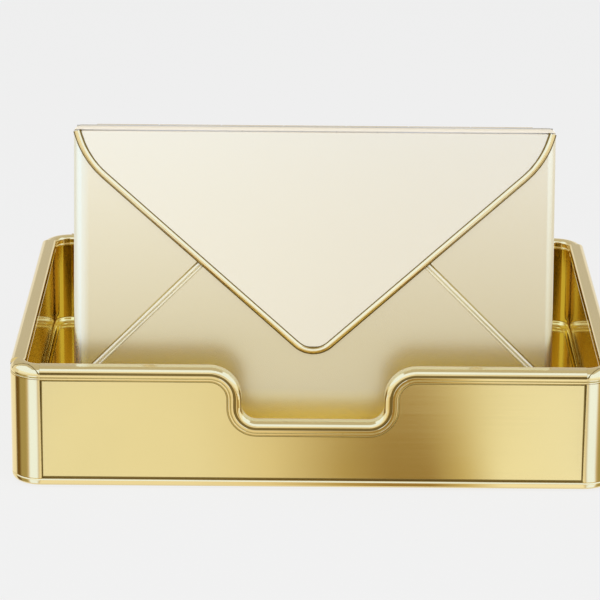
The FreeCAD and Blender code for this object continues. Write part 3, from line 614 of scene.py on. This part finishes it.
class LetterTrayGrooves(bpy.types.Operator):
    """Lays painted shade lines into the rim's grooves, along its edges, at its joints, round the front
    corners' highlights and round the wall panels, and a painted highlight along the front rim's inner edge
    """

    bl_idname = "letter_tray.grooves"
    bl_label = "Grooves"

    def execute(self, context):
        sizes = context.scene.letter_tray_sizes
        # Painted shade in the crown groove.
        crown = [notch_route(*CROWN_GROOVE)] + wall_routes(*CROWN_GROOVE)
        drawn_along("crown_lines", crown, "painted_shade", "tray", sizes.crown_line)
        # Painted shade along the lip groove.
        lip = [notch_route(*LIP_GROOVE), rear_route(*LIP_GROOVE)]
        drawn_along("lip_line", lip, "shade_gold", "tray", sizes.lip_line)
        # Painted shade between rim and wall panels.
        head = [notch_route(*PANEL_HEAD)] + wall_routes(*PANEL_HEAD)
        drawn_along("panel_head_lines", head, "shade_gold", "tray", sizes.panel_head_line)
        # Painted highlight along the front rim's inner edge.
        inner = [notch_route(*INNER_EDGE)]
        drawn_along(
            "inner_edge_highlight", inner, "edge_highlight_gold", "tray", sizes.inner_edge_highlight
        )
        # Painted shade at the corner joints.
        joints = [joint_route(side, end) for side in (-1, 1) for end in (-1, 1)]
        drawn_along("joint_lines", joints, "painted_shade", "tray", sizes.joint_line)
        # Painted shade: a dark edge round each front corner's highlight.
        corners = [corner_route(side) for side in (-1, 1)]
        drawn_along("corner_lines", corners, "painted_shade", "tray", sizes.corner_line)
        # Painted shade in the gaps round the wall panels.
        front = (STRAIGHT_X, -FACE_FRONT - PANEL_GAP_DEPTH)
        side = (STRAIGHT_Y, FACE_SIDE - PANEL_GAP_DEPTH)
        gaps = [
            panel_gap_route(*wall, quarter * math.pi / 2, sizes.panel_line)
            for quarter, wall in enumerate((front, side, front, side))
        ]
        drawn_along("panel_lines", gaps, "painted_shade", "tray", sizes.panel_line)
        return {"FINISHED"}


COVE_EDGE = 0.4 * MM  # flat above the cove's hollow, and before it on the floor
COVE_TURNS = range(0, 91, 15)  # degrees


class LetterTrayCove(bpy.types.Operator):
    """Runs the polished cove round the floor, where it meets the walls"""

    bl_idname = "letter_tray.cove"
    bl_label = "Floor cove"

    def execute(self, context):
        cove = context.scene.letter_tray_sizes.cove
        x, y = FACE_SIDE - LINER_INSET, -FACE_FRONT - LINER_INSET
        bend = CORNER - LINER_INSET
        places = [(-x, -y), (x, -y), (x, y), (-x, y)]
        route = rounded_route([((*place, FLOOR_TOP), bend) for place in places])
        hollow = [math.radians(turn) for turn in COVE_TURNS]
        arc = [(cove * (1 - math.sin(a)), cove * (1 - math.cos(a))) for a in hollow]
        section = [(0, 0), (0, cove + COVE_EDGE), (COVE_EDGE, cove + COVE_EDGE)]
        section += [(COVE_EDGE + a, COVE_EDGE + b) for a, b in reversed(arc)]
        section += [(COVE_EDGE + cove, 0)]
        drawn_along("floor_cove", [route], "floor_brass", "tray", section=section, closed=True)
        return {"FINISHED"}


LEAN = math.radians(10)  # the envelope leans back by this
ENVELOPE_FACE = -79.5 * MM  # front face of the envelope at floor level
ENVELOPE_TOP = 151.6247 * MM  # its top above floor level, along its own lean
FLAP_FACE = -2.0 * MM  # the flap's front face, measured back from the envelope's
TRIM_HALF = 1.4 * MM
FLAP_TRIM = (  # the trim's middle: (from the centre line, below the top), rounding
    ((112.6 * MM, 2.3 * MM), 0),
    ((108.6 * MM, 15.6 * MM), 41.0 * MM),
    ((0, 110.6 * MM), 12.0 * MM),
)
FLAP_INNER = (-2.2 * MM, TRIM_HALF - 0.05 * MM)  # back from the face, aside from the trim's middle
FLAP_OUTER = (-1.7 * MM, -TRIM_HALF + 0.1 * MM)
FOLD_END = 112.8 * MM  # the fold lines' ends, from the centre line
FOLD_FRONT = (FLAP_FACE + 0.15 * MM, 2.05 * MM)  # back from the envelope's face, below its top
FOLD_REAR = (1.0 * MM, 0.12 * MM)
SEAM_CENTRE = 12.4 * MM  # the seams' middle lines below the top, at the centre line and at the side
SEAM_SIDE = 124.2 * MM
ENVELOPE_HALF = 114.5 * MM
SEAM_ENDS = (53.2 * MM, 109.5 * MM)  # from the centre line
SEAM_LINE_UP = 1.1 * MM  # height over the seam's middle
# Height of the painted highlight under the seam's middle.
SEAM_HIGHLIGHT_UP = -1.5 * MM
LINE_SWELL = 0.9  # how much fuller the flap's inner line is at its ends and its tip
END_FADE = 5.0
TIP_FADE = 9.0


def on_envelope(x, back, depth):
    """Place in the tray of a point on the leaning envelope: back from its face, below its top."""
    up = ENVELOPE_TOP - depth
    y = ENVELOPE_FACE + back * math.cos(LEAN) + up * math.sin(LEAN)
    return Vector((x, y, FLOOR_TOP - back * math.sin(LEAN) + up * math.cos(LEAN)))


def beside(route, aside):
    """The flat route moved to its left by aside."""
    moved = []
    for i, place in enumerate(route):
        ahead = route[min(i + 1, len(route) - 1)] - route[max(i - 1, 0)]
        moved.append(place + Vector((-ahead.y, ahead.x, 0)).normalized() * aside)
    return moved


def flap_line_widths(along):
    """Fuller at both ends of the flap's edge and at its tip."""
    at_end = max(0.0, LINE_SWELL - END_FADE * min(along, 1 - along))
    at_tip = max(0.0, LINE_SWELL - TIP_FADE * abs(along - 0.5))
    return 1 + at_end + at_tip


def flap_line(back, aside):
    """Along the flap's trim from end to end, back from the envelope's face and aside."""
    left = [((-x, -depth, 0), rounding) for (x, depth), rounding in FLAP_TRIM]
    right = [((-place[0], *place[1:]), rounding) for place, rounding in reversed(left[:-1])]
    middle = rounded_route(left + right)
    return [on_envelope(place.x, back, -place.y) for place in beside(middle, aside)]


def fold_line(back, depth):
    """Straight across the envelope, back from its face and below its top."""
    return [on_envelope(x, back, depth) for x in (-FOLD_END, FOLD_END)]


def seam_line(sign, up):
    """Along one seam bead, on the side that sign gives, at a height over its middle."""
    fall = math.atan2(SEAM_SIDE - SEAM_CENTRE, ENVELOPE_HALF)
    route = []
    for x in SEAM_ENDS:
        depth = SEAM_CENTRE + math.tan(fall) * x
        route.append(on_envelope(sign * (x + up * math.sin(fall)), 0, depth - up * math.cos(fall)))
    return route


class LetterTrayEnvelopeLines(bpy.types.Operator):
    """Draws painted shade lines beside the flap's bead, along the fold and over the seams, and painted
    highlights under the seams
    """

    bl_idname = "letter_tray.envelope_lines"
    bl_label = "Envelope lines"

    def execute(self, context):
        sizes = context.scene.letter_tray_sizes
        # Painted shade on the flap's side of its bead, fuller at its ends and tip.
        inner = [flap_line(*FLAP_INNER)]
        drawn_along(
            "flap_inner_line", inner, "painted_shade", "flap", sizes.flap_inner_line,
            widths=flap_line_widths,
        )
        # Painted shadow on the envelope's side of the bead.
        outer = [flap_line(*FLAP_OUTER)]
        drawn_along("flap_outer_line", outer, "painted_shade", "flap", sizes.flap_outer_line)
        # Painted shade before and behind the fold.
        folds = [fold_line(*FOLD_FRONT), fold_line(*FOLD_REAR)]
        drawn_along("fold_lines", folds, "shaded_pearl", "flap", sizes.fold_line)
        # Painted shade over each seam bead.
        seams = [seam_line(sign, SEAM_LINE_UP) for sign in (-1, 1)]
        drawn_along("seam_lines", seams, "shade_gold", "envelope", sizes.seam_line)
        # Painted highlight under each seam bead.
        lips = [seam_line(sign, SEAM_HIGHLIGHT_UP) for sign in (-1, 1)]
        drawn_along("seam_highlights", lips, "seam_pearl", "envelope", sizes.seam_highlight)
        return {"FINISHED"}


# ---- studio ---------------------------------------------------------------------------------------


def seen_directly(tree):
    """1 for camera, glossy and transmission rays, 0 for the rays that only light things."""
    path = tree.nodes.new("ShaderNodeLightPath")
    first = tree.nodes.new("ShaderNodeMath")
    first.operation = "MAXIMUM"
    second = tree.nodes.new("ShaderNodeMath")
    second.operation = "MAXIMUM"
    tree.links.new(path.outputs["Is Camera Ray"], first.inputs[0])
    tree.links.new(path.outputs["Is Glossy Ray"], first.inputs[1])
    tree.links.new(first.outputs[0], second.inputs[0])
    tree.links.new(path.outputs["Is Transmission Ray"], second.inputs[1])
    return second.outputs[0]


def make_world(studio):
    """Soft even light, with the pale backdrop where the world is seen or mirrored."""
    world = bpy.data.worlds.new("studio")
    bpy.context.scene.world = world
    world.use_nodes = True
    tree = world.node_tree
    output = tree.nodes["World Output"]
    soft = tree.nodes["Background"]
    soft.inputs["Color"].default_value = (1, 1, 1, 1)
    soft.inputs["Strength"].default_value = studio.ambient
    shown = tree.nodes.new("ShaderNodeBackground")
    shown.inputs["Color"].default_value = (*studio.backdrop, 1)
    mix = tree.nodes.new("ShaderNodeMixShader")
    tree.links.new(seen_directly(tree), mix.inputs["Fac"])
    tree.links.new(soft.outputs[0], mix.inputs[1])
    tree.links.new(shown.outputs[0], mix.inputs[2])
    tree.links.new(mix.outputs[0], output.inputs["Surface"])


FLOOR_HALF = 12.0
FLOOR_GLOW = 0.9  # share of the floor's colour that doesn't depend on the lamps
GLOW_GAIN = 1.02  # brings that share level with the backdrop


def make_floor(studio):
    """Wide pale floor that keeps the tray's shadow."""
    mesh = bpy.data.meshes.new("studio_floor")
    sheet = bmesh.new()
    bmesh.ops.create_grid(sheet, x_segments=1, y_segments=1, size=FLOOR_HALF)
    sheet.to_mesh(mesh)
    sheet.free()
    floor = bpy.data.objects.new("studio_floor", mesh)
    bpy.context.scene.collection.objects.link(floor)
    material = bpy.data.materials.new("studio_floor")
    material.use_nodes = True
    tree = material.node_tree
    shader = tree.nodes["Principled BSDF"]
    tree.nodes.remove(shader)
    output = tree.nodes["Material Output"]
    matt = tree.nodes.new("ShaderNodeBsdfDiffuse")
    matt.inputs["Color"].default_value = (*studio.backdrop, 1)
    glow = tree.nodes.new("ShaderNodeEmission")
    glow.inputs["Color"].default_value = (*[GLOW_GAIN * c for c in studio.backdrop], 1)
    scaled = tree.nodes.new("ShaderNodeMath")
    scaled.operation = "MULTIPLY"
    scaled.inputs[1].default_value = FLOOR_GLOW
    mix = tree.nodes.new("ShaderNodeMixShader")
    tree.links.new(seen_directly(tree), scaled.inputs[0])
    tree.links.new(scaled.outputs[0], mix.inputs["Fac"])
    tree.links.new(matt.outputs[0], mix.inputs[1])
    tree.links.new(glow.outputs[0], mix.inputs[2])
    tree.links.new(mix.outputs[0], output.inputs["Surface"])
    mesh.materials.append(material)


def make_lamp(name, place, target, size, radiance):
    """Square softbox of a plain radiance, turned towards target."""
    lamp = bpy.data.lights.new(name, "AREA")
    lamp.shape = "RECTANGLE"
    lamp.size, lamp.size_y = size
    lamp.energy = radiance * math.pi * size[0] * size[1]
    box = bpy.data.objects.new(name, lamp)
    bpy.context.scene.collection.objects.link(box)
    box.location = place
    way = Vector(target) - Vector(place)
    box.rotation_euler = way.to_track_quat("-Z", "Y").to_euler()
    box.visible_glossy = False


SOFTBOXES = {  # place, target, size, radiance
    "top_box": ((0.0, -0.9, 1.5), (0, 0, 0.05), (2.2, 1.3), 1.1),
    "left_box": ((-1.05, -1.35, 0.75), (0, 0, 0.06), (1.1, 1.3), 1.5),
    "right_box": ((1.05, -1.35, 0.75), (0, 0, 0.06), (1.1, 1.3), 1.0),
}


def glowing(name):
    """A plain emission material, and its emission node."""
    material = bpy.data.materials.new(name)
    material.use_nodes = True
    tree = material.node_tree
    tree.nodes.remove(tree.nodes["Principled BSDF"])
    glow = tree.nodes.new("ShaderNodeEmission")
    tree.links.new(glow.outputs[0], tree.nodes["Material Output"].inputs["Surface"])
    return material, glow


def stand_card(name, sheet, material):
    """Puts a card in the studio that shows in reflections alone."""
    mesh = bpy.data.meshes.new(name)
    sheet.to_mesh(mesh)
    sheet.free()
    mesh.materials.append(material)
    card = bpy.data.objects.new(name, mesh)
    bpy.context.scene.collection.objects.link(card)
    for rays in ("camera", "diffuse", "transmission", "volume_scatter", "shadow"):
        setattr(card, f"visible_{rays}", False)


def make_card(name, first, second, rise, tint):
    """Card that stands on the line from first to second and reaches up by rise."""
    sheet = bmesh.new()
    edge = [sheet.verts.new(end) for end in (first, second)]
    rail = bmesh.ops.extrude_edge_only(sheet, edges=[sheet.edges.new(edge)])["geom"]
    moved = [item for item in rail if isinstance(item, bmesh.types.BMVert)]
    bmesh.ops.translate(sheet, vec=rise, verts=moved)
    material, glow = glowing(name)
    glow.inputs["Color"].default_value = (*tint, 1)
    stand_card(name, sheet, material)


GREY = (0.60, 0.59, 0.57)
COOL_WHITE = (1.0, 1.24, 1.92)
CARDS = {  # first end, second end, rise, tint
    "rear_card": ((-2.3, 1.70, 0.47), (2.3, 1.70, 0.47), (0, -0.45, 1.13), GREY),
    "over_card": ((-2.0, 1.25, 1.65), (2.0, 1.25, 1.65), (0, -2.15, -0.05), GREY),
    "front_card": ((-1.7, -1.90, 0.50), (1.7, -1.90, 0.50), (0, 0.98, 1.08), COOL_WHITE),
    "left_card": ((-1.8, -1.90, 0.48), (-1.8, 0.55, 0.48), (0.9, 0, 1.1), COOL_WHITE),
    "right_card": ((1.8, -1.90, 0.48), (1.8, 0.55, 0.48), (-0.9, 0, 1.1), COOL_WHITE),
    "horizon_left": ((-0.7, -2.2, 0.0), (0.0, -2.2, 0.0), (0, 0, 0.56), (1.0, 1.0, 0.98)),
    "horizon_right": ((0.0, -2.2, 0.0), (0.7, -2.2, 0.0), (0, 0, 0.56), (0.84, 0.81, 0.77)),
    "far_left": ((-1.9, -0.1, 0.0), (-0.7, -2.2, 0.0), (0, 0, 0.5), (1.02, 1.12, 1.28)),
    "far_right": ((0.7, -2.2, 0.0), (1.9, -0.1, 0.0), (0, 0, 0.5), (1.02, 1.12, 1.28)),
}


POST_LOW, POST_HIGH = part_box("corner_post_front_right")
CARD_REACH = 0.24
CARD_STRIPS, CARD_ROWS = 240, 8
CARD_LIFT = 0.4 * MM
DIP_SPAN = 0.254  # length of the front that the dip's places are measured along


def card_stops():
    """Colour stops of the floor card: dark strips at the posts and a broad soft dip at the front."""
    white, tan = COOL_WHITE, (0.66, 0.57, 0.43)
    olive, dark, warm = (0.43, 0.37, 0.19), (0.17, 0.10, 0.025), (0.98, 0.97, 0.92)
    fan = (  # degrees round a post, from the front
        (90, warm),
        (57, warm),
        (53, dark),
        (46, dark),
        (41, olive),
        (30, olive),
        (26, tan),
        (22, white),
        (9, white),
        (5, tan),
        (4, warm),
    )
    dip = (  # metres along the front, from its middle
        (-0.127, (1.0, 1.0, 0.96)),
        (-0.055, (0.97, 0.95, 0.88)),
        (-0.020, (0.86, 0.78, 0.60)),
        (0.015, (0.52, 0.40, 0.18)),
        (0.036, (0.38, 0.26, 0.09)),
        (0.056, (0.38, 0.26, 0.09)),
        (0.073, (0.68, 0.57, 0.32)),
        (0.090, (1.04, 1.04, 0.98)),
        (0.127, (1.05, 1.07, 1.10)),
    )
    left = [(-1 + 0.5 * (1 - angle / 90), tint) for angle, tint in fan]
    right = [(-place, tint) for place, tint in reversed(left)]
    return left + [(x / DIP_SPAN, tint) for x, tint in dip] + right


def card_spot(along, reach):
    """Point of the floor card: it lies where the wall at that place mirrors the camera to."""
    radius = POST_HIGH.x - POST_LOW.x
    side = math.copysign(1, along)
    turn = math.radians(180 * max(0.0, abs(along) - 0.5))
    x = side * min(1.0, 2 * abs(along)) * POST_LOW.x + side * math.sin(turn) * radius
    y = POST_HIGH.y - math.cos(turn) * radius
    return x + side * math.sin(2 * turn) * reach, y - math.cos(2 * turn) * reach


def make_floor_card():
    """Sheet on the floor round the front, seen only in reflections, in strips of light and dark."""
    sheet = bmesh.new()
    bmesh.ops.create_grid(sheet, x_segments=CARD_STRIPS, y_segments=CARD_ROWS, size=1.0)
    place = sheet.verts.layers.float.new("along")
    for corner in sheet.verts:
        along, reach = corner.co.x, CARD_REACH * (corner.co.y + 1) / 2
        corner[place] = along
        corner.co.xy = card_spot(along, reach)
        corner.co.z = CARD_LIFT
    material, glow = glowing("floor_card")
    tree = material.node_tree
    along = tree.nodes.new("ShaderNodeAttribute")
    along.attribute_name = "along"
    share_along = tree.nodes.new("ShaderNodeMapRange")
    share_along.inputs["From Min"].default_value = -1.0
    ramp = tree.nodes.new("ShaderNodeValToRGB")
    stops = card_stops()
    keys = ramp.color_ramp.elements
    while len(keys) < len(stops):
        keys.new(0.5)
    for key, (where, tint) in zip(keys, stops):
        key.position = (where + 1) / 2
        key.color = (*tint, 1)
    tree.links.new(along.outputs["Fac"], share_along.inputs["Value"])
    tree.links.new(share_along.outputs["Result"], ramp.inputs["Fac"])
    tree.links.new(ramp.outputs["Color"], glow.inputs["Color"])
    stand_card("floor_card", sheet, material)


def make_camera(studio):
    """Long lens that looks down on the tray's front."""
    lens = bpy.data.cameras.new("camera")
    lens.lens = studio.lens
    lens.sensor_width = 36.0
    lens.clip_start, lens.clip_end = 0.05, 50.0
    camera = bpy.data.objects.new("camera", lens)
    bpy.context.scene.collection.objects.link(camera)
    camera.location = studio.camera_place
    tilt = Matrix.Rotation(math.pi / 2 - studio.camera_pitch, 3, "X")
    roll = Matrix.Rotation(studio.camera_roll, 3, "Z")
    camera.rotation_euler = (tilt @ roll).to_euler()
    bpy.context.scene.camera = camera


class LetterTrayStage(bpy.types.Operator):
    """Sets up the floor, the surroundings, the softboxes and the camera"""

    bl_idname = "letter_tray.stage"
    bl_label = "Set up the studio"

    def execute(self, context):
        studio = context.scene.letter_tray_studio
        make_world(studio)
        make_floor(studio)
        for name, values in SOFTBOXES.items():
            make_lamp(name, *values)
        for name, values in CARDS.items():
            make_card(name, *values)
        make_floor_card()
        make_camera(studio)
        context.scene.view_settings.view_transform = "Standard"
        return {"FINISHED"}


class LetterTrayPanel(bpy.types.Panel):
    """Sizes, finishes and buttons of the letter tray"""

    bl_idname = "VIEW3D_PT_letter_tray"
    bl_label = "Letter Tray"
    bl_space_type = "VIEW_3D"
    bl_region_type = "UI"
    bl_category = "Letter Tray"

    def draw(self, context):
        scene = context.scene
        for group in (scene.letter_tray_sizes, scene.letter_tray_finishes, scene.letter_tray_studio):
            box = self.layout.box()
            for name in group.__annotations__:
                box.prop(group, name)
        for operator in OPERATORS:
            self.layout.operator(operator.bl_idname)


OPERATORS = (
    LetterTrayMixFinishes,
    LetterTrayCoatNodes,
    LetterTrayGrooves,
    LetterTrayCove,
    LetterTrayEnvelopeLines,
    LetterTrayStage,
)
CLASSES = (LetterTraySizes, LetterTrayFinishes, LetterTrayStudio, *OPERATORS, LetterTrayPanel)


def register():
    for made in CLASSES:
        bpy.utils.register_class(made)
    bpy.types.Scene.letter_tray_sizes = PointerProperty(type=LetterTraySizes)
    bpy.types.Scene.letter_tray_finishes = PointerProperty(type=LetterTrayFinishes)
    bpy.types.Scene.letter_tray_studio = PointerProperty(type=LetterTrayStudio)


def unregister():
    del bpy.types.Scene.letter_tray_studio
    del bpy.types.Scene.letter_tray_finishes
    del bpy.types.Scene.letter_tray_sizes
    for made in reversed(CLASSES):
        bpy.utils.unregister_class(made)


def main():
    """Makes the dressed tray in its studio."""
    register()
    bpy.ops.letter_tray.mix_finishes()
    bpy.ops.letter_tray.coat_nodes()
    bpy.ops.letter_tray.grooves()
    bpy.ops.letter_tray.cove()
    bpy.ops.letter_tray.envelope_lines()
    bpy.ops.letter_tray.stage()


if __name__ == "__main__":
    main()
